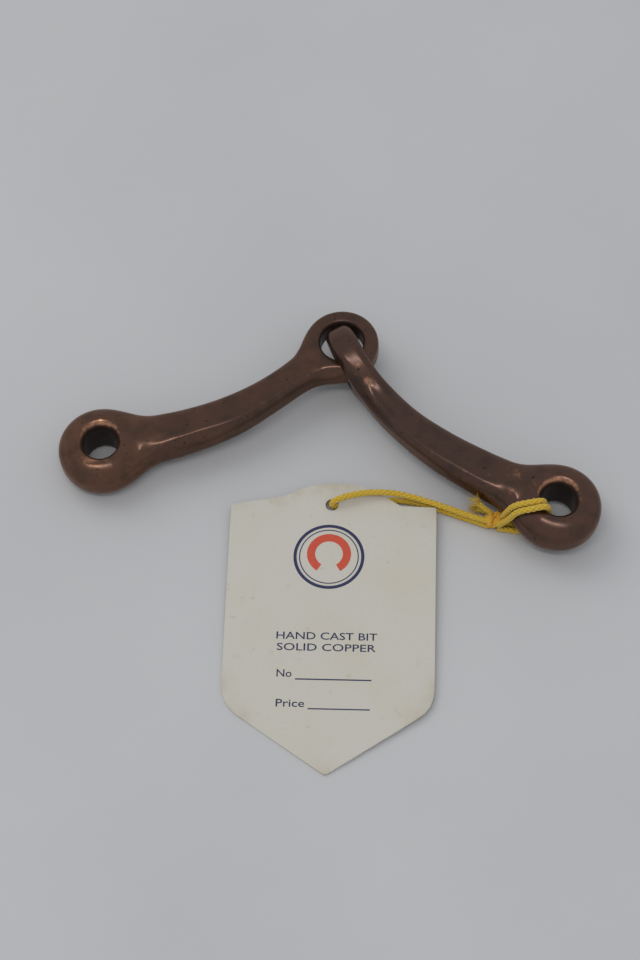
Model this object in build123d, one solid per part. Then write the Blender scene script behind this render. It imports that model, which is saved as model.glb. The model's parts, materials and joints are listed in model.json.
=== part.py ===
from build123d import *
from math import pi, radians, tan
import os

os.makedirs("parts", exist_ok=True)

# A jointed copper mouthpiece for a riding bit, in mm: two cast cannons linked by
# their eyes, with a card hang tag tied on by a doubled string.  +Z is up, and the
# origin is on the table, under the middle of the two cannons.

# the butts: round bosses, each with a bore that a cheek ring or shank turns in
BORE_DIA = 8.2
BORE_LIP = 1.2
BUTT_DIA = 20.4
BUTT_HEIGHT = 11.0
BUTT_ROUND = 4.2

# the eyes: thick rings that link, the left one flat and the right one nearly on edge
EYE_HOLE_DIA = 10.3
EYE_WALL = 3.6
EYE_HEIGHT = 6.2
EYE_ROUND = 1.75

# where the cannons lie: centre of each bore and of each eye
LEFT_BORE = (-52.89, -4.88, 5.82)
LEFT_EYE = (3.5, 22.22, 8.7)
RIGHT_BORE = (52.9, -20.78, 7.3)
RIGHT_EYE = (5.9, 18.12, 8.88)

# how each eye is turned from flat, about the body and then about the bore's axis
LEFT_EYE_TURN = (0, 0)
RIGHT_EYE_TURN = (77, -27)

# body sections: share of the length, bow sideways, width, height, corner radius, twist
BUTT_END = [(0.10, 1.3, 11.4, 9.8, 3.4, 0), (0.20, 2.8, 10.9, 9.4, 3.4, 0)]
LEFT_BODY = [
    (0.32, 4.3, 10.1, 8.8, 3.2, 0),
    (0.50, 5.2, 9.1, 8.1, 2.9, 0),
    (0.68, 4.0, 7.9, 7.3, 2.6, 0),
    (0.80, 2.4, 8.0, 6.5, 2.4, 0),
    (0.885, 1.2, 10.0, 6.1, 2.2, 0),
]
RIGHT_BODY = [
    (0.32, 4.2, 10.1, 8.8, 3.2, 0),
    (0.50, 5.5, 9.1, 8.1, 2.9, 0),
    (0.68, 5.3, 7.9, 7.3, 2.6, -4),
    (0.80, 4.1, 7.0, 7.8, 2.4, -9),
    (0.885, 2.7, 6.1, 10.0, 2.2, -13),
]

# hang tag: a shield-shaped card that rests on its point, its left corner and the
# string under it.  Its outline is measured from the string hole, across and up.
TAG_THICKNESS = 0.45
TAG_HOLE = (1.0, -17.28)
TAG_HOLE_DIA = 3.0
TAG_HEIGHT = 2.05
TAG_TURN = -1.9
TAG_SLOPE_X = 0.0202
TAG_SLOPE_Y = 0.0259
TAG_LEFT, TAG_RIGHT = -23.6, 24.4
TAG_SHOULDER = -0.2
TAG_CREST = 5.6
TAG_SIDE = -50.4
TAG_POINT = -66.8

# string: a soft braid, doubled from the tag's hole to the right butt
STRING_DIA = 1.5
KNOT_CENTRE = (38.8, -21.18, 2.0)
KNOT_RADII = (2.3, 1.9, 1.8)
ARC_SHARE = 0.45

# routes of the string, by hand: from the knot over the card, down its hole and back
TAG_CORD = [
    (37.4, -21.78, 2.6),
    (32.9, -20.28, 2.45),
    (27.6, -18.08, 2.45),
    (21.2, -15.78, 2.5),
    (15.8, -14.68, 3.3),
    (10.6, -14.78, 4.0),
    (5.6, -15.58, 4.2),
    (1.0, -17.28, 4.2),
    (1.0, -17.28, 0.8),
    (6.8, -16.58, 0.8),
    (14.0, -15.08, 0.8),
    (21.3, -15.88, 0.8),
    (29.6, -19.08, 0.8),
    (37.4, -22.08, 0.9),
]
# round the right butt: up its side, over it, down the bore and back under it
NECK_LOOP_A = [
    (40.3, -21.2, 2.9),
    (41.0, -22.28, 7.4),
    (42.3, -22.68, 12.2),
    (45.7, -22.88, 14.2),
    (49.2, -22.38, 14.2),
    (50.2, -21.58, 11.0),
    (50.2, -21.58, 3.9),
    (49.35, -22.18, 0.85),
    (45.2, -22.08, 0.85),
    (40.8, -21.28, 1.1),
]
NECK_LOOP_B = [
    (39.6, -22.75, 2.5),
    (41.6, -23.98, 7.2),
    (43.0, -24.48, 12.3),
    (46.6, -24.78, 14.1),
    (50.4, -23.98, 14.2),
    (51.3, -23.18, 11.0),
    (51.3, -23.18, 3.9),
    (50.6, -23.78, 0.85),
    (45.9, -23.78, 0.85),
    (39.5, -22.7, 0.85),
]
TAIL_A = [(38.1, -20.18, 3.4), (36.0, -19.38, 5.2), (33.5, -18.18, 6.9)]
TAIL_B = [(37.9, -19.58, 1.7), (36.0, -18.38, 2.4), (33.6, -18.08, 2.2)]


def butt():
    """Solid boss for the bore, rounded all round its outer edges."""
    boss = Cylinder(BUTT_DIA / 2, BUTT_HEIGHT)
    rims = boss.edges().filter_by(GeomType.CIRCLE)
    return fillet(rims, BUTT_ROUND)


def eye():
    """Ring with a stadium-shaped wall, its hole along Z."""
    middle = EYE_HOLE_DIA / 2 + EYE_WALL / 2
    wall = Plane.XZ * Pos(middle, 0) * RectangleRounded(EYE_WALL, EYE_HEIGHT, EYE_ROUND)
    return revolve(wall, Axis.Z)


def body(length, sections):
    """Loft along the bowed middle line, from inside the butt to the eye's wall."""
    stations = [(section[0] * length, section[1]) for section in sections]
    middle_line = Spline(*stations)
    faces = []
    for station, (_, _, width, height, corner, twist) in zip(stations, sections):
        ahead = middle_line % middle_line.param_at_point(Vector(*station, 0))
        place = Plane(origin=(*station, 0), x_dir=(-ahead.Y, ahead.X, 0), z_dir=ahead)
        faces.append(place * Rot(0, 0, twist) * RectangleRounded(width, height, corner))
    return loft(faces)


def cannon(bore, eye_centre, sections, eye_turn, mirrored):
    """One casting: butt, bowed body and eye, bored and lipped, laid in its place."""
    run = Vector(*eye_centre) - Vector(*bore)
    length = run.length
    about_body, about_bore = eye_turn
    at_eye = Pos(length, 0, 0) * Rot(0, 0, about_bore) * Rot(about_body, 0, 0)
    solid = butt() + body(length, sections)
    solid = solid - at_eye * Cylinder(EYE_HOLE_DIA / 2, BUTT_DIA) + at_eye * eye()
    solid -= Cylinder(BORE_DIA / 2, BUTT_HEIGHT * 2)
    rims = solid.edges().filter_by(GeomType.CIRCLE)
    mouths = [rim for rim in rims if abs(rim.radius - BORE_DIA / 2) < 0.01]
    solid = fillet(mouths, BORE_LIP)
    if mirrored:
        solid = mirror(solid, about=Plane.XZ)
    side = Vector(0, 0, 1).cross(run)
    place = Plane(origin=bore, x_dir=run, z_dir=run.cross(side))
    return place.location * solid


def hang_tag():
    """Shield-shaped card with a crest over its string hole."""
    crest = [(-13, TAG_SHOULDER + 1.1), (0, TAG_CREST), (6, TAG_CREST), (16, TAG_SHOULDER + 0.3)]
    middle = (TAG_LEFT + TAG_RIGHT) / 2
    outline = (
        Line((TAG_LEFT, TAG_SHOULDER), crest[0])
        + Spline(crest)
        + Polyline(
            crest[-1],
            (TAG_RIGHT, TAG_SHOULDER),
            (TAG_RIGHT, TAG_SIDE),
            (middle, TAG_POINT),
            (TAG_LEFT, TAG_SIDE),
            (TAG_LEFT, TAG_SHOULDER),
        )
    )
    card = extrude(make_face(outline), TAG_THICKNESS / 2, both=True)
    card -= Cylinder(TAG_HOLE_DIA / 2, TAG_THICKNESS * 2)
    normal = (-TAG_SLOPE_X, -TAG_SLOPE_Y, 1)
    across = Vector(1, 0, 0).rotate(Axis.Z, TAG_TURN)
    across += Vector(0, 0, across.X * TAG_SLOPE_X + across.Y * TAG_SLOPE_Y)
    place = Plane(origin=(*TAG_HOLE, TAG_HEIGHT), x_dir=across, z_dir=normal)
    return place.location * card


def string(name, points):
    """Round tube along straight runs, each corner an arc that its runs leave room for."""
    route = [Vector(*point) for point in points]
    radii = []
    for before, corner, after in zip(route, route[1:], route[2:]):
        first, second = corner - before, after - corner
        turn = radians(first.get_angle(second))
        radii.append(ARC_SHARE * min(first.length, second.length) / tan(turn / 2))
    path = FilletPolyline(*route, radius=radii)
    section = Plane(origin=path @ 0, z_dir=path % 0) * Circle(STRING_DIA / 2)
    tube = sweep(section, path=path)
    expected = pi * (STRING_DIA / 2) ** 2 * path.length
    print(name, "length", round(path.length, 1), "volume/expected", round(tube.volume / expected, 4))
    print("  arc radii", [round(radius, 1) for radius in radii])
    return tube


def knot():
    """Knot that gathers the doubled string in front of the butt."""
    ball = Sphere(1)
    return Pos(*KNOT_CENTRE) * scale(ball, by=KNOT_RADII)


left_sections = BUTT_END + LEFT_BODY
right_sections = BUTT_END + RIGHT_BODY
nodes = {
    "left_cannon": cannon(LEFT_BORE, LEFT_EYE, left_sections, LEFT_EYE_TURN, mirrored=True),
    "right_cannon": cannon(RIGHT_BORE, RIGHT_EYE, right_sections, RIGHT_EYE_TURN, mirrored=False),
    "hang_tag": hang_tag(),
    "tag_cord": string("tag_cord", TAG_CORD),
    "neck_loop_a": string("neck_loop_a", NECK_LOOP_A),
    "neck_loop_b": string("neck_loop_b", NECK_LOOP_B),
    "cord_knot": knot(),
    "cord_tail_a": string("cord_tail_a", TAIL_A),
    "cord_tail_b": string("cord_tail_b", TAIL_B),
}
for node, shape in nodes.items():
    export_step(shape, f"parts/{node}.step")

cannons = Compound(children=[nodes["left_cannon"], nodes["right_cannon"]]).bounding_box()
print("cannons from", cannons.min, "to", cannons.max, "centre", cannons.center())
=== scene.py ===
import json
import math

import bmesh
import bpy
import numpy as np
from mathutils import Matrix, Vector


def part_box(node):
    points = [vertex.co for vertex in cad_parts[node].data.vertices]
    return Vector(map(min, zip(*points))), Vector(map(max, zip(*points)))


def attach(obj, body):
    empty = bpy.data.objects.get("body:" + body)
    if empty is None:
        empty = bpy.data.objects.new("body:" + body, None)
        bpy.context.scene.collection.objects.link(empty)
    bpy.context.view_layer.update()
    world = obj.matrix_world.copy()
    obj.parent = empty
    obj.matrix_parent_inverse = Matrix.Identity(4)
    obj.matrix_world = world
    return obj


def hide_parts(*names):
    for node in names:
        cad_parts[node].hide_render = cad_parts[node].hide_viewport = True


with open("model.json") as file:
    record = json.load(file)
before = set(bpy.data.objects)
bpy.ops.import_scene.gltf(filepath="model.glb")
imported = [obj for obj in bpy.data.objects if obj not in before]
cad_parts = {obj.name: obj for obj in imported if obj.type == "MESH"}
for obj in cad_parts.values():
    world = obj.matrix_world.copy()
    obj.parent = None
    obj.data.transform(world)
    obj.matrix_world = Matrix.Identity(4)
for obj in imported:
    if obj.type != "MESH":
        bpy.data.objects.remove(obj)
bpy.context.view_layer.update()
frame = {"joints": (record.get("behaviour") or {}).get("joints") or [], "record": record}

# ==== Left cannon ====================================================================
# One half of the mouthpiece: a copper casting with a bored butt for the cheek ring, a
# bowed body that is flat on top, and an eye that lies flat.  It was sand cast and then
# tumbled, so that its parts flow into each other and its edges shine.

MM = 0.001
mounts = {mount["name"]: mount for mount in frame["record"]["mounts"]}
joints = {joint["name"]: joint for joint in frame["joints"]}

# all in mm: the butt, its bore with the two mouths of its countersink, and the eye
BUTT_RADIUS, BUTT_FILLET = 10.2, 5.5
BORE_RADIUS, MOUTH_RADIUS, UNDER_RADIUS = 4.1, 5.4, 4.6
MOUTH_EASE, BORE_LIP = 0.6, 0.7
EYE_HOLE, EYE_RADIUS, EYE_MOUTH, EYE_FILLET = 5.15, 8.75, 1.1, 4.5

# the body stops short of the bore and of the middle of the eye
BODY_START, BODY_STOP = 6.5, 3
FACET_TILT = math.radians(52)
GROOVE_DEPTH, GROOVE_WIDTH, GROOVE_INSET = 0.2, 1.0, 1.5

# the ridge's edge is crisp, and softens to a wide round where the body meets the butt
RIDGE_EDGE, SOFT_EDGE, SOFT_UNTIL, SOFT_OVER = 0.7, 4.3, 0.26, 0.14

# far enough inside that the facet cuts nothing below the body's middle
NO_FACET = -9

# how much smaller than the casting its rough blank is
BLANK_SLACK, EYE_BLANK_SLACK, BAR_SHARE = 0.6, 0.4, 0.42
SKIN_GRAIN = 0.3

# share of the run from bore to eye, bow, width, height, near top edge, other edges,
# ridge from the middle, twist
LEFT_BODY = np.array([
    (0.00, 0.0, 11.0, 11.0, 4.7, 4.7, 10.5, 0),
    (0.10, 1.3, 10.6, 10.7, 4.2, 4.5, 6.4, 0),
    (0.20, 2.8, 10.5, 9.5, 2.2, 3.6, 3.9, 0),
    (0.32, 4.3, 10.1, 8.8, 1.6, 3.5, 2.9, 0),
    (0.50, 5.2, 9.1, 8.1, 1.4, 3.2, 3.1, 0),
    (0.68, 4.0, 7.9, 7.3, 1.3, 2.9, 2.6, 0),
    (0.80, 2.4, 8.0, 6.6, 1.3, 2.4, 2.8, 0),
    (0.885, 1.2, 9.4, 6.2, 1.7, 1.9, 3.6, 0),
    (0.94, 0.5, 10.0, 6.2, 1.8, 1.7, 5.9, 0),
    (1.00, 0.0, 10.0, 6.2, 1.7, 1.6, 10.5, 0),
])


def between(where, stations, values):
    """A value along the body, on a smooth curve through its stations."""
    slopes = np.gradient(values, stations)
    here = np.clip(np.searchsorted(stations, where) - 1, 0, len(stations) - 2)
    gap = stations[here + 1] - stations[here]
    t = np.clip((where - stations[here]) / gap, 0, 1)
    rise = values[here + 1] - values[here]
    ease = 3 * t**2 - 2 * t**3
    sag = gap * (slopes[here] * t * (1 - t) ** 2 - slopes[here + 1] * t**2 * (1 - t))
    return values[here] + rise * ease + sag


def melt(first, second, fillet):
    """Joins two forms with a cast fillet between them."""
    share = np.clip(0.5 + 0.5 * (second - first) / fillet, 0, 1)
    return second + (first - second) * share - fillet * share * (1 - share)


def carve(solid, hole, lip):
    """Cuts a hole, and eases its mouth."""
    return -melt(-solid, hole, lip)


def body_section(points, length, stations, near):
    """Where points lie in the body's own section, and that section's sizes there."""
    x, y, z = points.T
    along, bow, width, height, near_edge, other_edge, ridge, twist = stations.T
    share = np.clip(x / length, along[0], along[-1])
    before, after = np.maximum(share - 0.005, along[0]), np.minimum(share + 0.005, along[-1])
    sideways = between(after, along, bow) - between(before, along, bow)
    slope = near * sideways / ((after - before) * length)
    middle = near * between(share, along, bow) + slope * (x - share * length)
    out = (y - middle) * np.cos(np.arctan(slope))
    turn = np.radians(between(share, along, twist))
    across = out * np.cos(turn) + z * np.sin(turn)
    up = z * np.cos(turn) - out * np.sin(turn)
    on_near_top = (across * near > 0) & (up > 0)
    corner = np.where(on_near_top, between(share, along, near_edge), between(share, along, other_edge))
    half_width, half_height = between(share, along, width) / 2, between(share, along, height) / 2
    return across, up, half_width, half_height, corner, between(share, along, ridge)


def eye_reach(points, length, eye_axes):
    """How far points are from the axis of the eye's hole."""
    q = (points - np.array([length, 0, 0])) @ eye_axes
    return np.hypot(q[:, 0], q[:, 1])


def cannon_form(points, length, stations, near, eye_axes, upright):
    """Distance from points to the whole casting, in mm, negative inside the metal."""
    x, y, _ = points.T
    across, up, half_width, half_height, corner, ridge = body_section(points, length, stations, near)
    reach = eye_reach(points, length, eye_axes)
    near_across = across * near
    inset = (near_across - ridge + GROOVE_INSET) / GROOVE_WIDTH
    mid_body = np.clip(4 - 10 * np.abs(x / length - 0.5), 0, 1)
    groove = GROOVE_DEPTH * np.exp(-(inset**2)) * (up > 0) * mid_body
    sides = np.maximum(np.abs(across) - half_width, BODY_START - x)
    faces = np.abs(up) - half_height + groove
    disc = reach - EYE_RADIUS
    from_bore = np.hypot(x, y)
    if upright:
        sides = melt(sides, from_bore - BUTT_RADIUS, BUTT_FILLET)
        faces = melt(np.maximum(faces, x - length + BODY_STOP), disc, EYE_FILLET)
    else:
        sides = melt(np.maximum(sides, x - length + BODY_STOP), from_bore - BUTT_RADIUS, BUTT_FILLET)
        sides = melt(sides, disc, EYE_FILLET)
    over, above = sides + corner, faces + corner
    outside = np.hypot(np.maximum(over, 0), np.maximum(above, 0))
    solid = outside + np.minimum(np.maximum(over, above), 0) - corner
    facet = (near_across - ridge) * math.sin(FACET_TILT) + faces * math.cos(FACET_TILT)
    edge = RIDGE_EDGE + SOFT_EDGE * np.clip((SOFT_UNTIL - x / length) / SOFT_OVER, 0, 1)
    solid = carve(solid, -np.where(up > 0, facet, NO_FACET), edge)
    solid = carve(solid, reach - EYE_HOLE, EYE_MOUTH)
    mouth = np.where(points[:, 2] > 0, MOUTH_RADIUS, UNDER_RADIUS)
    countersink = (from_bore - mouth + stations[0, 3] / 2 - np.abs(points[:, 2])) * math.sqrt(0.5)
    return carve(solid, melt(from_bore - BORE_RADIUS, countersink, MOUTH_EASE), BORE_LIP)


def ring_of_metal(build, place, inner, outer, half_height):
    """Rough ring, the blank of a butt or an eye."""
    turns = 40
    profile = [(inner, -half_height), (outer, -half_height), (outer, half_height), (inner, half_height)]
    loops = []
    for turn in range(turns):
        angle = 2 * math.pi * turn / turns
        corners = [Vector((r * math.cos(angle), r * math.sin(angle), up)) for r, up in profile]
        loops.append([build.verts.new(place @ corner) for corner in corners])
    for turn in range(turns):
        here, there = loops[turn], loops[(turn + 1) % turns]
        for side in range(4):
            build.faces.new((here[side], there[side], there[side - 3], here[side - 3]))


def bar_of_metal(build, length, stations, near):
    """Rough bowed bar, the blank of a body."""
    along, bow, width, height = stations.T[:4]
    shares = np.linspace(BODY_START / length, 1 - (EYE_HOLE + EYE_RADIUS) / 2 / length, 24)
    loops = []
    for share in shares:
        middle = near * float(between(np.array([share]), along, bow)[0])
        half = BAR_SHARE * float(between(np.array([share]), along, width)[0])
        tall = BAR_SHARE * float(between(np.array([share]), along, height)[0])
        corners = [(-half, -tall), (half, -tall), (half, tall), (-half, tall)]
        loops.append([build.verts.new((share * length, middle + out, up)) for out, up in corners])
    for here, there in zip(loops, loops[1:]):
        for side in range(4):
            build.faces.new((here[side], here[side - 3], there[side - 3], there[side]))
    build.faces.new(loops[0][::-1])
    build.faces.new(loops[-1])


def settle(points, form, passes):
    """Moves points straight onto a form's surface."""
    step = 0.02
    for _ in range(passes):
        gap = form(points)
        slope = np.stack([form(points + step * axis) - gap for axis in np.eye(3)], axis=1) / step
        steepness = np.maximum((slope**2).sum(axis=1), 0.1)
        points = points - (gap / steepness)[:, None] * slope
    return points


def relax(points, edges):
    """Spreads points evenly by moving each halfway to its neighbours' middle."""
    count = np.bincount(edges.ravel(), minlength=len(points))
    middle = np.empty_like(points)
    for axis in range(3):
        total = np.bincount(edges[:, 0], points[edges[:, 1], axis], len(points))
        total += np.bincount(edges[:, 1], points[edges[:, 0], axis], len(points))
        middle[:, axis] = total / count
    return (points + middle) / 2


def near_spots(points, spots):
    """How close points are to any of some spots, each (x, y, z, radius, strength): worn metal with painted
    glints, stains and dark patches.
    """
    worn = np.zeros(len(points))
    for x, y, z, radius, strength in spots:
        away = np.linalg.norm(points - np.array([x, y, z]), axis=1)
        worn = np.maximum(worn, strength * np.exp(-((away / radius) ** 2)))
    return worn


def cast_cannon(name, bore, eye, stations, near, eye_axes, upright, spots, stains):
    """Casts one cannon and marks its worn bright metal and painted highlights, its reddened butt, and its
    stains and painted shade.
    """
    run = eye - bore
    length = run.length / MM
    ahead = run.normalized()
    side = Vector((0, 0, 1)).cross(ahead).normalized()
    place = Matrix((ahead, side, ahead.cross(side))).transposed().to_4x4()
    place = Matrix.Translation(bore) @ place @ Matrix.Scale(MM, 4)

    build = bmesh.new()
    butt_height, eye_height = stations[0, 3], stations[-1, 2 if upright else 3]
    slack = BLANK_SLACK
    ring_of_metal(build, Matrix(), BORE_RADIUS + slack, BUTT_RADIUS - slack, butt_height / 2 - slack)
    bar_of_metal(build, length, stations, near)
    eye_place = Matrix.Translation((length, 0, 0)) @ Matrix(eye_axes.tolist()).to_4x4()
    slack = EYE_BLANK_SLACK
    ring_of_metal(build, eye_place, EYE_HOLE + slack, EYE_RADIUS - slack, eye_height / 2 - slack)
    bmesh.ops.recalc_face_normals(build, faces=build.faces)
    blank_mesh = bpy.data.meshes.new(name + "_blank")
    build.to_mesh(blank_mesh)
    build.free()
    blank = bpy.data.objects.new(name + "_blank", blank_mesh)
    bpy.context.scene.collection.objects.link(blank)
    skin = blank.modifiers.new("skin", "REMESH")
    skin.mode = "VOXEL"
    skin.voxel_size = SKIN_GRAIN
    cast = blank.evaluated_get(bpy.context.evaluated_depsgraph_get())
    mesh = bpy.data.meshes.new_from_object(cast)
    bpy.data.objects.remove(blank)

    points = np.empty(len(mesh.vertices) * 3)
    mesh.vertices.foreach_get("co", points)
    points = points.reshape(-1, 3)
    edges = np.empty(len(mesh.edges) * 2, dtype=int)
    mesh.edges.foreach_get("vertices", edges)
    edges = edges.reshape(-1, 2)

    def form(where):
        return cannon_form(where, length, stations, near, eye_axes, upright)

    points = settle(points, form, 4)
    for _ in range(3):
        points = settle(relax(points, edges), form, 2)

    radius = np.hypot(points[:, 0], points[:, 1])
    # cheek rings have worn the bore's top rim bright; its far side is painted brighter still, a painted
    # highlight
    band = np.exp(-(((radius - BORE_RADIUS - 0.8) / 0.5) ** 2)) * (points[:, 2] > 3)
    far_side = points[:, :2] @ np.array([ahead.y, side.y]) / radius
    rim = band * np.clip(0.45 + 0.6 * far_side, 0, 1)
    across, up, _, half_height, _, ridge = body_section(points, length, stations, near)
    on_body = (points[:, 0] > 0.14 * length) & (points[:, 0] < 0.97 * length)
    on_body &= up > 0.5 * half_height
    # the ridge's edge is worn bright, and this band also paints a highlight along that ridge
    rubbed = 0.3 * np.exp(-(((across * near - ridge) / 0.7) ** 2)) * on_body
    reach = eye_reach(points, length, eye_axes)
    # painted shade: inside the eye's hole, where the other eye passes, and down the bore the metal is
    # painted dark
    linked = 0.8 * np.exp(-np.maximum(reach - EYE_HOLE, 0) / 0.7)
    in_bore = np.exp(-((np.maximum(radius - BORE_RADIUS, 0) / 0.35) ** 2))
    # the first mark is worn metal and painted highlights; the second is painted shade in the bore and eye
    # hole, and stains
    marks = {
        "worn": np.maximum(np.maximum(rim, rubbed), near_spots(points, spots)),
        "sooty": np.maximum(np.maximum(in_bore, linked), near_spots(points, stains)),
        "butt": np.clip(1 - (radius - BUTT_RADIUS) / 8, 0, 1),
    }
    for mark, amounts in marks.items():
        layer = mesh.attributes.new(mark, "FLOAT", "POINT")
        layer.data.foreach_set("value", amounts.astype(np.float32))
    mesh.vertices.foreach_set("co", points.ravel())
    mesh.transform(place)
    mesh.polygons.foreach_set("use_smooth", np.ones(len(mesh.polygons), dtype=bool))
    mesh.update()
    cannon = bpy.data.objects.new(name, mesh)
    bpy.context.scene.collection.objects.link(cannon)
    return cannon


def wire(tree, kind, place=(0, 0), feeds=(), **settings):
    """Adds a node, sets it up, and connects or fills its inputs."""
    node = tree.nodes.new(kind)
    node.location = place
    for name, value in settings.items():
        setattr(node, name, value)
    for socket, value in feeds:
        if isinstance(value, bpy.types.NodeSocket):
            tree.links.new(value, node.inputs[socket])
        else:
            node.inputs[socket].default_value = value
    return node


def new_group(name, inputs, outputs):
    """Starts a node group with named sockets, and returns it with its two end nodes."""
    tree = bpy.data.node_groups.new(name, "ShaderNodeTree")
    for label, kind, value in inputs:
        socket = tree.interface.new_socket(label, in_out="INPUT", socket_type=kind)
        socket.default_value = value
    for label, kind in outputs:
        tree.interface.new_socket(label, in_out="OUTPUT", socket_type=kind)
    return tree, tree.nodes.new("NodeGroupInput"), tree.nodes.new("NodeGroupOutput")


def new_finish(name):
    """Starts a material, and returns it with its tree and its shader."""
    finish = bpy.data.materials.new(name)
    finish.use_nodes = True
    return finish, finish.node_tree, finish.node_tree.nodes["Principled BSDF"]


def mix_colours(tree, share, first, second, blend="MIX"):
    """Mixes two colours and returns the result."""
    node = wire(tree, "ShaderNodeMix", data_type="RGBA", blend_type=blend)
    for socket, value in ((0, share), (6, first), (7, second)):
        if isinstance(value, bpy.types.NodeSocket):
            tree.links.new(value, node.inputs[socket])
        else:
            node.inputs[socket].default_value = value
    return node.outputs[2]


def blotches(tree, place, scale, detail, low, high, roughness=0.5):
    """Noise stretched between two levels, and returned as a mask."""
    noise_feeds = [("Vector", place), ("Scale", scale), ("Detail", detail), ("Roughness", roughness)]
    noise = wire(tree, "ShaderNodeTexNoise", feeds=noise_feeds)
    spread_feeds = [("Value", noise.outputs["Fac"]), ("From Min", low), ("From Max", high)]
    spread = wire(tree, "ShaderNodeMapRange", feeds=spread_feeds)
    return spread.outputs["Result"]


def sums(tree, operation, first, second):
    """Arithmetic on two masks, kept between 0 and 1."""
    node = wire(tree, "ShaderNodeMath", operation=operation, use_clamp=True, feeds=[(0, first), (1, second)])
    return node.outputs[0]


def scaled_sum(tree, mask, scale, rest):
    """One mask times a number, plus the rest, not clamped."""
    feeds = [(0, mask), (1, scale), (2, rest)]
    return wire(tree, "ShaderNodeMath", operation="MULTIPLY_ADD", feeds=feeds).outputs[0]


# Oxide on bare copper: brown with redder clouds, tiny dark pits and handling scratches.
# It rubs off to orange metal on the rims and edges, and that orange also paints highlights;
# near black paints the shade in the bores and eye holes, and the stains.
patina, given, made = new_group(
    "copper_patina",
    [
        ("WearAndGlints", "NodeSocketFloat", 0.0),
        ("ShadeAndStains", "NodeSocketFloat", 0.0),
        ("Butt", "NodeSocketFloat", 0.0),
        ("Brown", "NodeSocketColor", (0.1, 0.05, 0.04, 1)),
        ("Red", "NodeSocketColor", (0.2, 0.08, 0.05, 1)),
        ("Bright", "NodeSocketColor", (0.8, 0.4, 0.2, 1)),
    ],
    [
        ("Color", "NodeSocketColor"),
        ("Roughness", "NodeSocketFloat"),
        ("Metal", "NodeSocketFloat"),
        ("Height", "NodeSocketFloat"),
    ],
)
spot = wire(patina, "ShaderNodeTexCoord").outputs["Object"]
clouds = blotches(patina, spot, 90, 4, 0.35, 0.7)
specks = blotches(patina, spot, 1500, 3, 0.3, 0.75)
grime = blotches(patina, spot, 260, 5, 0.46, 0.72)
pits = blotches(patina, spot, 900, 2, 0.69, 0.74)
rubbed = blotches(patina, spot, 650, 6, 0.36, 0.62, 0.65)
drawn_out = [("Vector", spot), ("Scale", (1, 1, 6)), ("Rotation", (0.5, 0.3, 0.6))]
along_scratch = wire(patina, "ShaderNodeMapping", feeds=drawn_out).outputs[0]
scratches = wire(
    patina,
    "ShaderNodeTexNoise",
    feeds=[("Vector", along_scratch), ("Scale", 1600), ("Detail", 3)],
)
red_clouds = sums(patina, "MULTIPLY", clouds, 0.34)
red_butt = sums(patina, "MULTIPLY", given.outputs["Butt"], 0.35)
red_share = sums(patina, "ADD", red_clouds, red_butt)
tone = mix_colours(patina, red_share, given.outputs["Brown"], given.outputs["Red"])
tone = mix_colours(patina, sums(patina, "MULTIPLY", specks, 0.35), tone, (0.62, 0.62, 0.62, 1), "MULTIPLY")
tone = mix_colours(patina, sums(patina, "MULTIPLY", grime, 0.5), tone, (0.035, 0.026, 0.02, 1))
# worn metal and painted highlights turn the tone to the bright orange
flecked = scaled_sum(patina, rubbed, 0.5, given.outputs["WearAndGlints"])
bare = wire(
    patina, "ShaderNodeMapRange", feeds=[("Value", flecked), ("From Min", 0.7), ("From Max", 2.0)]
).outputs["Result"]
tone = mix_colours(patina, bare, tone, given.outputs["Bright"])
# painted shade in the bore and eye hole, and stains, take the tone to near black
shade_and_stain_share = sums(patina, "MULTIPLY", given.outputs["ShadeAndStains"], 0.9)
tone = mix_colours(patina, shade_and_stain_share, tone, (0.012, 0.01, 0.009, 1))
tone = mix_colours(patina, sums(patina, "MULTIPLY", pits, 0.8), tone, (0.01, 0.008, 0.006, 1))
rough = wire(
    patina, "ShaderNodeMapRange", feeds=[("Value", grime), ("To Min", 0.25), ("To Max", 0.4)]
)
matt = scaled_sum(patina, bare, -0.1, rough.outputs[0])
grain = scaled_sum(patina, scratches.outputs["Fac"], 0.22, 0.0)
swell = scaled_sum(patina, clouds, 1.2, grain)
patina.links.new(tone, made.inputs["Color"])
# the painted shade and stains are also rougher and less metallic, so they stay dark
patina.links.new(scaled_sum(patina, given.outputs["ShadeAndStains"], 0.45, matt), made.inputs["Roughness"])
patina.links.new(scaled_sum(patina, given.outputs["ShadeAndStains"], -0.8, 0.88), made.inputs["Metal"])
patina.links.new(scaled_sum(patina, pits, -1.0, swell), made.inputs["Height"])


def copper(name, brown, red, bright):
    """Oxidised copper in one cannon's own colours."""
    finish, tree, shader = new_finish(name)
    skin = wire(tree, "ShaderNodeGroup", node_tree=patina)
    for mark, socket in (("worn", "WearAndGlints"), ("sooty", "ShadeAndStains"), ("butt", "Butt")):
        layer = wire(tree, "ShaderNodeAttribute", attribute_name=mark)
        tree.links.new(layer.outputs["Fac"], skin.inputs[socket])
    for socket, colour in (("Brown", brown), ("Red", red), ("Bright", bright)):
        skin.inputs[socket].default_value = (*colour, 1)
    bump_feeds = [("Height", skin.outputs["Height"]), ("Strength", 0.35), ("Distance", 0.00008)]
    bump = wire(tree, "ShaderNodeBump", feeds=bump_feeds)
    tree.links.new(skin.outputs["Color"], shader.inputs["Base Color"])
    tree.links.new(skin.outputs["Roughness"], shader.inputs["Roughness"])
    tree.links.new(bump.outputs["Normal"], shader.inputs["Normal"])
    tree.links.new(skin.outputs["Metal"], shader.inputs["Metallic"])
    shader.inputs["Specular IOR Level"].default_value = 0.3
    shader.inputs["Specular Tint"].default_value = (0.8, 0.62, 0.52, 1)
    shader.inputs["Coat Weight"].default_value = 0.35
    shader.inputs["Coat Roughness"].default_value = 0.22
    return finish
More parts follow.
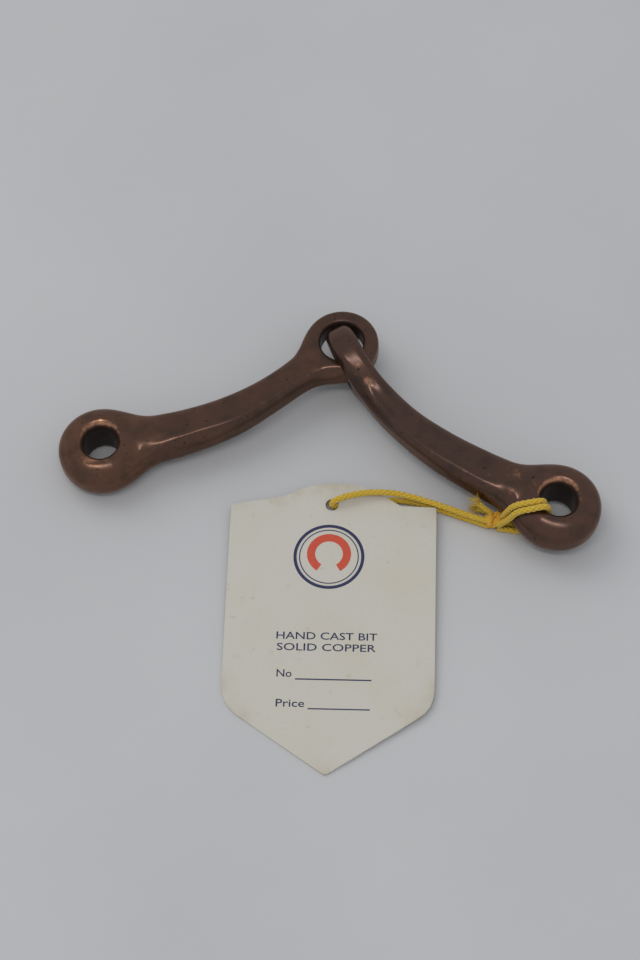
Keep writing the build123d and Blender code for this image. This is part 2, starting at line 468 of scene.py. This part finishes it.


# each (along, across, up, radius, strength): worn bright metal and painted glints at the
# bore's rim, on the fold of the ridge by the eye, and along the near side
LEFT_WEAR_AND_GLINTS = [
    (-1.5, 4.9, 5.0, 1.0, 0.7),
    (2.2, 4.6, 5.0, 1.2, 0.8),
    (-3.8, -3.2, 5.3, 2.2, 0.9),
    (-0.6, -5.5, 5.2, 1.4, 0.6),
    (-2.9, -7.6, 3.6, 0.9, 0.6),
    (53.5, -5.4, 2.2, 3.0, 0.35),
    (34.0, -9.0, 2.6, 9.0, 0.25),
]
# darker patches on the neck, along the near side and on the butt's far shoulder
LEFT_DARK_PATCHES = [(9.0, -3.0, 4.9, 3.5, 0.25), (30.0, -7.5, 4.1, 3.0, 0.2), (5.5, 6.5, 4.6, 2.0, 0.2)]

left_bore = Vector(mounts["left_bore"]["pos_m"])
left_eye = Vector(joints["fold"]["pos_m"])
left_cannon = cast_cannon(
    "left_casting", left_bore, left_eye, LEFT_BODY, -1, np.eye(3), False, LEFT_WEAR_AND_GLINTS, LEFT_DARK_PATCHES
)
left_cannon.data.materials.append(
    copper("oxidised_copper_left", (0.095, 0.05, 0.034), (0.2, 0.09, 0.05), (0.85, 0.42, 0.22))
)
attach(left_cannon, "left_side")
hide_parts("left_cannon")

# ==== Right cannon ===================================================================
# The other casting, of the same metal.  Its eye stands nearly on edge in the left one's
# eye, so its body twists and grows tall and narrow towards it, and its ridge climbs to
# the middle.

EYES_APART = Vector((2.4, -4.1, 0.18)) * MM
EYE_TILT, EYE_HEADING = math.radians(77), math.radians(-27)
RIGHT_BODY = np.array([
    (0.00, 0.0, 11.0, 11.0, 4.7, 4.7, 11.0, 0),
    (0.10, 1.3, 10.6, 10.7, 4.3, 4.5, 7.2, 0),
    (0.20, 2.8, 10.5, 9.5, 2.8, 3.6, 4.6, 0),
    (0.32, 4.2, 10.1, 8.8, 2.2, 3.5, 3.7, 0),
    (0.50, 5.5, 9.1, 8.1, 2.0, 3.2, 3.5, 0),
    (0.68, 5.3, 7.9, 7.6, 2.0, 2.9, 2.7, -4),
    (0.80, 4.1, 7.3, 8.2, 2.1, 2.5, 1.8, -9),
    (0.885, 2.8, 6.7, 9.6, 2.1, 2.2, 1.4, -12),
    (0.94, 1.7, 6.6, 10.0, 2.1, 2.1, 1.6, -13),
    (1.00, 0.0, 6.6, 10.0, 2.1, 2.1, 2.4, -13),
])

# worn bright metal and painted glints on the ridge by the eye, at the neck of the butt and
# round the bore's edge
RIGHT_WEAR_AND_GLINTS = [
    (60.5, 2.0, 8.0, 1.3, 0.4),
    (56.5, 3.6, 7.2, 1.8, 0.4),
    (52.7, 5.0, 5.6, 1.8, 0.8),
    (16.5, 6.5, 3.3, 4.0, 0.35),
    (11.6, 1.5, 4.4, 2.6, 0.5),
    (9.6, 5.0, 3.6, 1.4, 0.7),
    (6.5, 0.8, 5.3, 1.6, 0.5),
    (4.2, 3.5, 5.2, 1.5, 0.4),
]
RIGHT_STAINS = [
    (25.5, 4.2, 4.2, 0.9, 0.7), (24.3, 3.2, 4.3, 0.5, 0.6), (22.5, 5.5, 4.2, 0.8, 0.6),
    (31.0, 2.5, 4.1, 3.0, 0.2), (7.5, -2.5, 5.0, 2.5, 0.25),
]

eye_turned = Matrix.Rotation(EYE_HEADING, 3, "Z") @ Matrix.Rotation(EYE_TILT, 3, "X")
right_bore = Vector(mounts["right_bore"]["pos_m"])
right_eye = left_eye + EYES_APART
right_axes = np.array(eye_turned)
right_cannon = cast_cannon(
    "right_casting", right_bore, right_eye, RIGHT_BODY, 1, right_axes, True, RIGHT_WEAR_AND_GLINTS, RIGHT_STAINS
)
right_cannon.data.materials.append(
    copper("oxidised_copper_right", (0.09, 0.049, 0.036), (0.15, 0.07, 0.045), (0.85, 0.42, 0.22))
)
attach(right_cannon, "right_side")
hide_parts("right_cannon")

# ==== Hang tag =======================================================================
# The maker's card: cream board die-cut to a shield with a crest over its string hole.
# It rests on its point, its left corner and the string, and its corners are soft.

CARD_THICKNESS = 0.45
CARD_LEFT, CARD_RIGHT = -23.6, 24.4
CARD_SHOULDER, CARD_SIDE, CARD_POINT = -0.2, -50.4, -66.8
CARD_TURN = math.radians(-1.9)
CARD_SLOPES = (0.0202, 0.0259)
STRING_HOLE, CARD_ROUND = 1.5, 0.09
CREST_STARTS, CREST_ENDS = (-13.0, 1.7), (16.0, 0.1)

across_card = Matrix.Rotation(CARD_TURN, 3, "Z") @ Vector((1, 0, 0))
across_card.z = across_card.x * CARD_SLOPES[0] + across_card.y * CARD_SLOPES[1]
across_card.normalize()
card_normal = Vector((-CARD_SLOPES[0], -CARD_SLOPES[1], 1)).normalized()
card_place = Matrix((across_card, card_normal.cross(across_card), card_normal)).transposed().to_4x4()
card_place = Matrix.Translation(Vector(joints["tag_swivel"]["pos_m"])) @ card_place @ Matrix.Scale(MM, 4)


def eased(corner, before, after, radius):
    """Points of a small round on a corner of the card."""
    start = corner + (before - corner).normalized() * radius
    end = corner + (after - corner).normalized() * radius
    return [start.lerp(corner, t).lerp(corner.lerp(end, t), t) for t in (0, 0.25, 0.5, 0.75, 1)]


def card_outline():
    """The shield's edge, anticlockwise from the left shoulder down."""
    middle = (CARD_LEFT + CARD_RIGHT) / 2
    corners = [
        (CARD_LEFT, CARD_SHOULDER, 1.1),
        (CARD_LEFT, CARD_SIDE, 5.0),
        (middle, CARD_POINT, 0.9),
        (CARD_RIGHT, CARD_SIDE, 4.4),
        (CARD_RIGHT, CARD_SHOULDER, 0.5),
        (*CREST_ENDS, 0.15),
    ]
    points = [Vector(corner[:2]) for corner in corners]
    edge = []
    for index, corner in enumerate(corners[:5]):
        before = points[index - 1] if index else Vector(CREST_STARTS)
        edge += eased(points[index], before, points[index + 1], corner[2])
    crest = [
        CREST_STARTS, (-10.6, 2.45), (-8.5, 3.4), (-6.4, 4.45), (-4.0, 5.1), (-1.3, 5.5), (1.5, 5.6),
        (3.9, 5.55), (6.5, 5.1), (8.6, 4.3), (11.0, 3.2), (13.2, 1.9), CREST_ENDS,
    ]
    xs, ys = np.array(crest).T
    for x in np.linspace(CREST_ENDS[0], CREST_STARTS[0], 26):
        edge.append(Vector((x, float(between(np.array([x]), xs, ys)[0]))))
    return edge


def card_wave(x, y):
    """Height of the card's slight cockle, which fades to nothing at its hole."""
    return 0.07 * math.sin(x / 9 + 0.6) * math.sin(y / 13) * min(1.0, (x * x + y * y) / 400)


def card_board():
    """Cuts the board, eases its edge and lets it cockle."""
    build = bmesh.new()
    loops = [card_outline()]
    circle = [2 * math.pi * k / 28 for k in range(28)]
    loops.append([Vector((STRING_HOLE * math.cos(a), STRING_HOLE * math.sin(a))) for a in circle])
    edges = []
    for loop in loops:
        verts = [build.verts.new((point.x, point.y, 0)) for point in loop]
        edges += [build.edges.new((a, b)) for a, b in zip(verts, verts[1:] + verts[:1])]
    bmesh.ops.triangle_fill(build, edges=edges, use_beauty=True)
    for axis, low, high in (((1, 0, 0), -22, 24), ((0, 1, 0), -64, 5)):
        for stop in range(low, high, 3):
            geometry = build.verts[:] + build.edges[:] + build.faces[:]
            bmesh.ops.bisect_plane(build, geom=geometry, plane_co=Vector(axis) * stop, plane_no=axis)
    bmesh.ops.recalc_face_normals(build, faces=build.faces)
    top = build.faces[:]
    if top[0].normal.z < 0:
        bmesh.ops.reverse_faces(build, faces=top)
    skirt = bmesh.ops.extrude_face_region(build, geom=top, use_keep_orig=True)
    lower = [item for item in skirt["geom"] if isinstance(item, bmesh.types.BMVert)]
    bmesh.ops.translate(build, verts=lower, vec=(0, 0, CARD_THICKNESS))
    bmesh.ops.reverse_faces(build, faces=top)
    sharp = [edge for edge in build.edges if edge.calc_face_angle(0) > 1.0]
    bmesh.ops.bevel(build, geom=sharp, offset=CARD_ROUND, segments=2, affect="EDGES", profile=0.6)
    for vert in build.verts:
        vert.co.z += card_wave(vert.co.x, vert.co.y) - CARD_THICKNESS / 2
    mesh = bpy.data.meshes.new("tag_board")
    build.to_mesh(mesh)
    build.free()
    edge = np.array([(point.x, point.y) for point in card_outline()])
    soil = []
    for vert in mesh.vertices:
        flat = np.array(vert.co[:2])
        away = np.hypot(*(edge - flat).T).min()
        soil.append(math.exp(-away / 1.6))
    layer = mesh.attributes.new("handled", "FLOAT", "POINT")
    layer.data.foreach_set("value", soil)
    mesh.transform(card_place)
    board = bpy.data.objects.new("tag_board", mesh)
    bpy.context.scene.collection.objects.link(board)
    return board


board = card_board()
card, tree, shader = new_finish("tag_card")
spot = wire(tree, "ShaderNodeTexCoord").outputs["Object"]
fibres = blotches(tree, spot, 2600, 5, 0.3, 0.7, 0.7)
stains = blotches(tree, spot, 70, 5, 0.45, 0.8)
foxing = blotches(tree, spot, 420, 3, 0.66, 0.76)
handled = wire(tree, "ShaderNodeAttribute", attribute_name="handled").outputs["Fac"]
paper = mix_colours(tree, fibres, (0.555, 0.535, 0.47, 1), (0.60, 0.58, 0.51, 1))
paper = mix_colours(tree, sums(tree, "MULTIPLY", stains, 0.35), paper, (0.56, 0.49, 0.36, 1))
paper = mix_colours(tree, sums(tree, "MULTIPLY", foxing, 0.3), paper, (0.42, 0.34, 0.22, 1))
soiled = sums(tree, "MULTIPLY", handled, sums(tree, "ADD", blotches(tree, spot, 300, 4, 0.35, 0.7), 0.15))
paper = mix_colours(tree, sums(tree, "MULTIPLY", soiled, 0.55), paper, (0.42, 0.35, 0.24, 1))
bump = wire(tree, "ShaderNodeBump", feeds=[("Height", fibres), ("Strength", 0.3), ("Distance", 0.00004)])
tree.links.new(paper, shader.inputs["Base Color"])
tree.links.new(bump.outputs["Normal"], shader.inputs["Normal"])
shader.inputs["Roughness"].default_value = 0.72
board.data.materials.append(card)
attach(board, "tag")
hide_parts("hang_tag")

# ==== Print on the tag ===============================================================
# A printed badge and a few plain words in dark blue ink, with two ruled lines to write
# on.  The ink lies on the card as a film.

INK_FILM, INK_LIFT = 0.012, 0.002
BADGE_AT, BADGE_RADIUS = Vector((-0.3, -13.4)), 8.2


def ink(name, colour):
    """Printing ink that soaks unevenly into board."""
    finish, tree, shader = new_finish(name)
    spot = wire(tree, "ShaderNodeTexCoord").outputs["Object"]
    thin = blotches(tree, spot, 2400, 4, 0.35, 0.75)
    faded = tuple(0.84 * part + 0.08 for part in colour)
    shade = mix_colours(tree, sums(tree, "MULTIPLY", thin, 0.4), (*colour, 1), (*faded, 1))
    tree.links.new(shade, shader.inputs["Base Color"])
    shader.inputs["Roughness"].default_value = 0.6
    return finish


def printed(name, rings, finish):
    """Flat shapes of ink, each a closed ring of points or a pair of rings with a band between."""
    build = bmesh.new()
    for outer, inner in rings:
        loops = [outer] + ([inner] if inner else [])
        edges = []
        for loop in loops:
            verts = [build.verts.new((x, y, 0)) for x, y in loop]
            edges += [build.edges.new((a, b)) for a, b in zip(verts, verts[1:] + verts[:1])]
        bmesh.ops.triangle_fill(build, edges=edges, use_beauty=True)
    return lay_ink(name, build, finish)


def lay_ink(name, build, finish):
    """Gives flat shapes a film's thickness and lays them on the card."""
    faces = build.faces[:]
    for face in faces:
        if face.normal.z < 0:
            face.normal_flip()
    raised = bmesh.ops.extrude_face_region(build, geom=faces, use_keep_orig=True)
    tops = [item for item in raised["geom"] if isinstance(item, bmesh.types.BMVert)]
    bmesh.ops.translate(build, verts=tops, vec=(0, 0, INK_FILM))
    bmesh.ops.recalc_face_normals(build, faces=build.faces)
    for vert in build.verts:
        vert.co.z += card_wave(vert.co.x, vert.co.y) + CARD_THICKNESS / 2 + INK_LIFT
    mesh = bpy.data.meshes.new(name)
    build.to_mesh(mesh)
    build.free()
    mesh.transform(card_place)
    film = bpy.data.objects.new(name, mesh)
    film.data.materials.append(finish)
    bpy.context.scene.collection.objects.link(film)
    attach(film, "tag")
    return film


def arc(centre, radius, start, end, count):
    """Points round part of a circle, its angles in degrees."""
    angles = np.radians(np.linspace(start, end, count))
    return [(centre[0] + radius * math.cos(a), centre[1] + radius * math.sin(a)) for a in angles]


def bar(left, right, level, weight):
    """A ruled line."""
    return [(left, level), (right, level), (right, level + weight), (left, level + weight)]


navy = ink("ink_navy", (0.012, 0.016, 0.075))
scarlet = ink("ink_scarlet", (0.58, 0.07, 0.03))
disc = arc(BADGE_AT, BADGE_RADIUS, 0, 355, 72)
badge = [(disc, arc(BADGE_AT, BADGE_RADIUS - 0.75, 0, 355, 72))]
thin_ring = [arc(BADGE_AT, BADGE_RADIUS - inset, 0, 355, 72) for inset in (1.3, 1.55)]
badge.append(tuple(thin_ring))
rules = [(bar(-7.0, 10.2, -44.2, 0.32), None), (bar(-3.9, 10.0, -51.3, 0.3), None)]
printed("badge_and_rules", badge + rules, navy)
shoe_at = BADGE_AT + Vector((0, 0.7))
shoe = arc(shoe_at, 5.1, -58, 238, 40) + arc(shoe_at, 3.2, 238, -58, 34)
printed("badge_horseshoe", [(shoe, None)], scarlet)


def lettering(name, lines, finish):
    """Printed words, each given its left end, base line, width and height."""
    build = bmesh.new()
    for words, left, base, width, height in lines:
        text = bpy.data.curves.new(name, "FONT")
        text.body = words
        text.resolution_u = 3
        text.offset = 0.006
        block = bpy.data.objects.new(name, text)
        bpy.context.scene.collection.objects.link(block)
        set_type = block.evaluated_get(bpy.context.evaluated_depsgraph_get())
        flat = bpy.data.meshes.new_from_object(set_type)
        spots = np.array([vert.co[:2] for vert in flat.vertices])
        low, high = spots.min(axis=0), spots.max(axis=0)
        scale = Matrix.Diagonal((width / (high[0] - low[0]), height / (high[1] - low[1]), 1, 1))
        to_corner = Matrix.Translation((-low[0], -low[1], 0))
        flat.transform(Matrix.Translation((left, base, 0)) @ scale @ to_corner)
        build.from_mesh(flat)
        bpy.data.objects.remove(block)
        bpy.data.meshes.remove(flat)
    return lay_ink(name, build, finish)


lettering(
    "tag_words",
    [
        ("HAND CAST BIT", -11.6, -34.3, 22.9, 1.8),
        ("SOLID COPPER", -11.4, -37.1, 22.4, 1.8),
        ("No", -11.2, -43.6, 3.4, 1.85),
        ("Price", -11.1, -50.8, 6.4, 1.85),
    ],
    navy,
)

# ==== String =========================================================================
# A soft yellow braid, doubled: it runs down through the card's hole and back, is tied
# in one knot, and goes twice round the neck of the right butt through its bore.

STRING_RADIUS = 0.75
STRAND_LAY = 5.2
BRUSH_SPREAD = 0.54
TAG_ROUTE = [
    (37.4, -21.78, 2.6), (32.9, -20.28, 2.45), (27.6, -18.08, 2.45), (21.2, -15.78, 2.5),
    (15.8, -14.68, 3.3), (10.6, -14.78, 4.0), (5.6, -15.58, 4.2), (1.0, -17.28, 4.2),
    (1.0, -17.28, 0.8), (6.8, -16.58, 0.8), (14.0, -15.08, 0.8), (21.3, -15.88, 0.8),
    (29.6, -19.08, 0.8), (37.4, -22.08, 0.9),
]
LOOP_A_ROUTE = [
    (40.3, -21.2, 2.9), (41.0, -22.28, 7.4), (42.4, -22.88, 12.2), (45.7, -23.1, 14.1),
    (49.0, -22.5, 14.1), (49.8, -21.65, 11.0), (50.1, -21.58, 3.9), (49.35, -22.18, 0.85),
    (45.2, -22.08, 0.85), (40.8, -21.28, 1.1),
]
LOOP_B_ROUTE = [
    (39.6, -22.75, 2.5), (41.6, -23.98, 7.2), (43.0, -24.48, 12.2), (46.4, -24.7, 14.1),
    (49.8, -23.95, 14.1), (50.6, -23.1, 11.0), (50.9, -23.15, 3.9), (50.6, -23.78, 0.85),
    (45.9, -23.78, 0.85), (39.5, -22.7, 0.85),
]
TAIL_A_ROUTE = [(38.1, -20.18, 3.4), (36.0, -19.38, 5.2), (33.5, -18.18, 6.9)]
TAIL_B_ROUTE = [(37.9, -19.58, 1.7), (36.0, -18.38, 2.4), (33.6, -18.08, 2.2)]


def smooth_route(name, route):
    """The string's smooth line, on a NURBS curve whose control points are the route."""
    curve = bpy.data.curves.new(name, "CURVE")
    curve.dimensions = "3D"
    spline = curve.splines.new("NURBS")
    spline.points.add(len(route) - 1)
    for point, (x, y, z) in zip(spline.points, route):
        point.co = (x, y, z, 1)
    spline.order_u = 3
    spline.use_endpoint_u = True
    spline.resolution_u = 12
    line = bpy.data.objects.new(name, curve)
    bpy.context.scene.collection.objects.link(line)
    drawn = line.evaluated_get(bpy.context.evaluated_depsgraph_get())
    mesh = bpy.data.meshes.new_from_object(drawn)
    points = np.array([vert.co[:] for vert in mesh.vertices])
    bpy.data.objects.remove(line)
    bpy.data.meshes.remove(mesh)
    return points


def even(points, spacing):
    """The same line with its points an even distance apart, with frames that don't twist."""
    reach = np.concatenate([[0], np.cumsum(np.linalg.norm(np.diff(points, axis=0), axis=1))])
    where = np.linspace(0, reach[-1], max(4, int(reach[-1] / spacing)))
    line = np.stack([np.interp(where, reach, points[:, axis]) for axis in range(3)], axis=1)
    ahead = np.gradient(line, axis=0)
    ahead /= np.linalg.norm(ahead, axis=1)[:, None]
    side = np.cross(ahead[0], (0.3, 0.2, 1.0))
    sides = []
    for direction in ahead:
        side = side - direction * (side @ direction)
        side = side / np.linalg.norm(side)
        sides.append(side)
    sides = np.array(sides)
    return where, line, sides, np.cross(ahead, sides)


def yarn(build, line, thickness, around):
    """One yarn: a thin tube along a line, closed at both ends."""
    _, line, sides, tops = even(line, max(0.1, thickness * 0.6))
    angles = [2 * math.pi * k / around for k in range(around)]
    loops = []
    for centre, side, top in zip(line, sides, tops):
        ring = [centre + thickness * (math.cos(a) * side + math.sin(a) * top) for a in angles]
        loops.append([build.verts.new(spot) for spot in ring])
    for here, there in zip(loops, loops[1:]):
        for k in range(around):
            build.faces.new((here[k], here[k - around + 1], there[k - around + 1], there[k]))
    build.faces.new(loops[0][::-1])
    build.faces.new(loops[-1])


def braid(build, route_line, radius, phase=0.0):
    """Eight yarns braided over and under each other round a core."""
    where, line, sides, tops = even(route_line, 0.16)
    turn = 2 * np.pi * where / STRAND_LAY + phase
    thickness = radius * 0.31
    for way in (1, -1):
        ring = radius - thickness - 0.02 + way * 0.085 * radius * np.cos(4 * turn)
        for k in range(4):
            angle = way * turn + k * np.pi / 2
            out = np.cos(angle)[:, None] * sides + np.sin(angle)[:, None] * tops
            yarn(build, line + ring[:, None] * out, thickness, around=5)
    yarn(build, line, radius * 0.62, around=8)


def fuzz(build, line, count, reach, thickness, seed):
    """Loose fibres that stand off the braid."""
    draw = np.random.default_rng(seed)
    for _ in range(count):
        root = line[draw.integers(1, len(line) - 1)]
        out = draw.normal(size=3)
        out /= np.linalg.norm(out)
        bend = draw.normal(size=3) * 0.3
        start = root + out * STRING_RADIUS * 0.75
        span = reach * draw.uniform(0.5, 1.2)
        ts = np.linspace(0, 1, 4)[:, None]
        fibre = start + out * span * ts + bend * span * ts**2
        fibre[:, 2] = np.maximum(fibre[:, 2], thickness)
        yarn(build, fibre, thickness, around=3)


def string_piece(name, build):
    """Turns yarns in mm into a finished piece of string on the right side's body."""
    mesh = bpy.data.meshes.new(name)
    build.to_mesh(mesh)
    build.free()
    mesh.transform(Matrix.Scale(MM, 4))
    mesh.polygons.foreach_set("use_smooth", np.ones(len(mesh.polygons), dtype=bool))
    piece = bpy.data.objects.new(name, mesh)
    bpy.context.scene.collection.objects.link(piece)
    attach(piece, "right_side")
    return piece


def dyed_yarn(name, deep, pale, shaded):
    """Soft dyed yarn, its colour uneven along the string."""
    finish, tree, shader = new_finish(name)
    spot = wire(tree, "ShaderNodeTexCoord").outputs["Object"]
    uneven = blotches(tree, spot, 500, 4, 0.3, 0.7)
    twist = blotches(tree, spot, 5200, 3, 0.3, 0.7)
    yellow = mix_colours(tree, uneven, (*deep, 1), (*pale, 1))
    yellow = mix_colours(tree, sums(tree, "MULTIPLY", twist, 0.4), yellow, (*shaded, 1))
    bump = wire(tree, "ShaderNodeBump", feeds=[("Height", twist), ("Strength", 0.5), ("Distance", 0.00005)])
    tree.links.new(yellow, shader.inputs["Base Color"])
    tree.links.new(bump.outputs["Normal"], shader.inputs["Normal"])
    shader.inputs["Roughness"].default_value = 0.75
    shader.inputs["Sheen Weight"].default_value = 0.3
    shader.inputs["Sheen Roughness"].default_value = 0.4
    return finish


dyed = dyed_yarn("yellow_string", (0.74, 0.47, 0.028), (0.66, 0.49, 0.055), (0.46, 0.27, 0.015))
pulled_tight = dyed_yarn("yellow_string_knot", (0.8, 0.42, 0.02), (0.76, 0.46, 0.04), (0.5, 0.22, 0.01))

# the knot: an overhand knot pulled tight, so its three lobes of braid lie on each other
KNOT_YARN, COLLAR_YARN = 0.8, 0.62
low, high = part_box("cord_knot")
knot_middle = (np.array(low) + np.array(high)) / 2 / MM
knot_room = (np.array(high) - np.array(low)) / 2 / MM - KNOT_YARN
around = np.linspace(0, 2 * np.pi, 90)
lobes = np.stack(
    [
        (np.sin(around) + 2 * np.sin(2 * around)) / 2.64,
        (np.cos(around) - 2 * np.cos(2 * around) + 0.45) / 2.55,
        -np.sin(3 * around),
    ],
    axis=1,
)
collar_room = knot_room + KNOT_YARN - COLLAR_YARN
collar = np.stack([0.15 * np.sin(around + 0.8), np.cos(around), np.sin(around)], axis=1)
build = bmesh.new()
braid(build, knot_middle + lobes * knot_room, KNOT_YARN)
for shift in (-0.68, 0.62):
    braid(build, knot_middle + (collar + np.array([shift, 0, 0])) * collar_room, COLLAR_YARN)
fuzz(build, knot_middle + lobes * knot_room, 60, 0.3, 0.022, 5)
knot = string_piece("string_knot", build)
knot.data.materials.append(pulled_tight)
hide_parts("cord_knot")


def tail(name, route, seed, node):
    """A cut end: a short length of braid that opens into a brush of crimped yarns."""
    draw = np.random.default_rng(seed)
    line = smooth_route(name, route)
    build = bmesh.new()
    cut = int(len(line) * 0.72)
    braid(build, line[:cut], STRING_RADIUS * 0.85)
    ahead = line[-1] - line[cut - 4]
    ahead /= np.linalg.norm(ahead)
    low, high = (np.array(corner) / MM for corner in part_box(node))
    for _ in range(46):
        out = draw.normal(size=3) * 0.42
        start = line[cut - 5] + draw.normal(size=3) * 0.22
        span = draw.uniform(1.6, 3.0)
        ts = np.linspace(0, 1, 7)[:, None]
        crimp = draw.normal(size=3) * 0.12 * np.sin(ts * draw.uniform(6, 12))
        fibre = start + (ahead + out * ts) * span * ts + crimp
        fibre = np.clip(fibre, low - BRUSH_SPREAD, high + BRUSH_SPREAD)
        fibre[:, 2] = np.maximum(fibre[:, 2], 0.1)
        yarn(build, fibre, draw.uniform(0.045, 0.085), around=4)
    piece = string_piece(name, build)
    piece.data.materials.append(dyed)
    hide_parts(node)
    return piece


tail_a = tail("string_tail_a", TAIL_A_ROUTE, 11, "cord_tail_a")
tail_b = tail("string_tail_b", TAIL_B_ROUTE, 12, "cord_tail_b")


def string_run(name, route, node, length, seed):
    """A braided length between the knot and the knot, in place of the model's cord part, which it hides."""
    line = smooth_route(name, route)
    build = bmesh.new()
    braid(build, line, STRING_RADIUS, phase=seed)
    fuzz(build, line, int(length * 3), 0.32, 0.018, seed)
    piece = string_piece(name, build)
    piece.data.materials.append(dyed)
    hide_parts(node)
    return piece


string_run("string_to_tag", TAG_ROUTE, "tag_cord", 77.8, 1)
string_run("string_loop_a", LOOP_A_ROUTE, "neck_loop_a", 38.4, 2)
string_run("string_loop_b", LOOP_B_ROUTE, "neck_loop_b", 42.1, 3)

# ==== Table, light and camera ========================================================
# A plain pale table under a soft window on the left, with a long thin light overhead
# that draws the ridges.

table_mesh = bpy.data.meshes.new("table")
build = bmesh.new()
bmesh.ops.create_grid(build, x_segments=2, y_segments=2, size=2.5)
build.to_mesh(table_mesh)
build.free()
table = bpy.data.objects.new("table", table_mesh)
bpy.context.scene.collection.objects.link(table)
top, tree, shader = new_finish("table_top")
spot = wire(tree, "ShaderNodeTexCoord").outputs["Object"]
wiped = blotches(tree, spot, 9, 5, 0.3, 0.75)
shade = mix_colours(tree, wiped, (0.51, 0.515, 0.52, 1), (0.56, 0.563, 0.565, 1))
tree.links.new(shade, shader.inputs["Base Color"])
shader.inputs["Roughness"].default_value = 0.45
table_mesh.materials.append(top)

world = bpy.data.worlds.new("room")
world.use_nodes = True
world.node_tree.nodes["Background"].inputs["Color"].default_value = (0.92, 0.95, 1.0, 1)
world.node_tree.nodes["Background"].inputs["Strength"].default_value = 0.55
bpy.context.scene.world = world


def soft_light(name, place, target, size, power, colour):
    """A soft light aimed at the bit."""
    light = bpy.data.lights.new(name, "AREA")
    light.shape = "RECTANGLE"
    light.size, light.size_y = size
    light.energy = power
    light.color = colour
    lamp = bpy.data.objects.new(name, light)
    lamp.location = place
    lamp.rotation_euler = (Vector(target) - Vector(place)).to_track_quat("-Z", "Y").to_euler()
    bpy.context.scene.collection.objects.link(lamp)
    return lamp


window = soft_light("window_left", (-0.75, 0.6, 1.1), (0, 0, 0), (0.9, 0.9), 4.2, (1.0, 0.98, 0.96))
window.visible_glossy = False
soft_light("strip_overhead", (-0.1, -0.42, 1.3), (0, 0, 0), (0.8, 0.09), 3.5, (1.0, 0.96, 0.94))

CAMERA_PLACE = (-0.0018, -0.27268, 0.475)
CAMERA_TILT = math.radians(29)
camera_data = bpy.data.cameras.new("camera")
camera_data.lens = 86.25
camera_data.sensor_width = 36
camera_data.sensor_fit = "AUTO"
camera = bpy.data.objects.new("camera", camera_data)
camera.location = CAMERA_PLACE
camera.rotation_euler = (CAMERA_TILT, 0, 0)
bpy.context.scene.collection.objects.link(camera)
bpy.context.scene.camera = camera
bpy.context.scene.view_settings.view_transform = "Standard"
